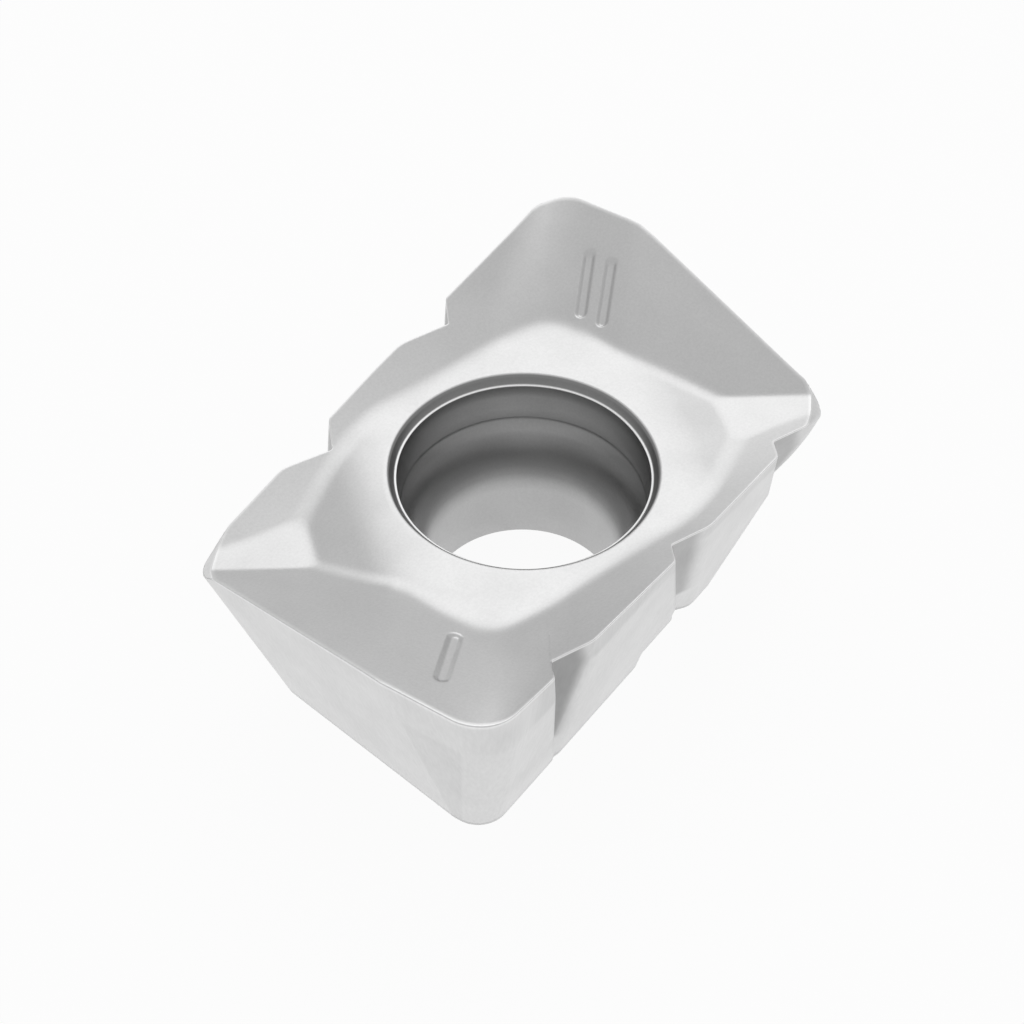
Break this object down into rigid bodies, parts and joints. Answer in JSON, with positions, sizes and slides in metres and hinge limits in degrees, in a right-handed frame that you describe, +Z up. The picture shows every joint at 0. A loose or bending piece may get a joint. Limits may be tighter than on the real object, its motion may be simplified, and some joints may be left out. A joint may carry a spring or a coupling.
{
  "type": "carbide insert",
  "caption": "Indexable carbide milling insert with two long cutting edges, chip-splitting notches, a pressed chip former and a central screw hole.",
  "frame": {"origin": "on the axis of the screw bore, at the flat seat face that rests in the holder's pocket", "axes": "+Z up along the bore, out of the seat face towards the chip face; +X along the long cutting edges; -Y towards the edge whose nose is at -X"},
  "size_m": [0.0122, 0.0073, 0.0048],
  "materials": {
    "carbide": "satin ground and sintered tungsten carbide, uncoated, light grey"
  },
  "bodies": {
    "root": {"insert_body": "carbide"}
  },
  "joints": []
}
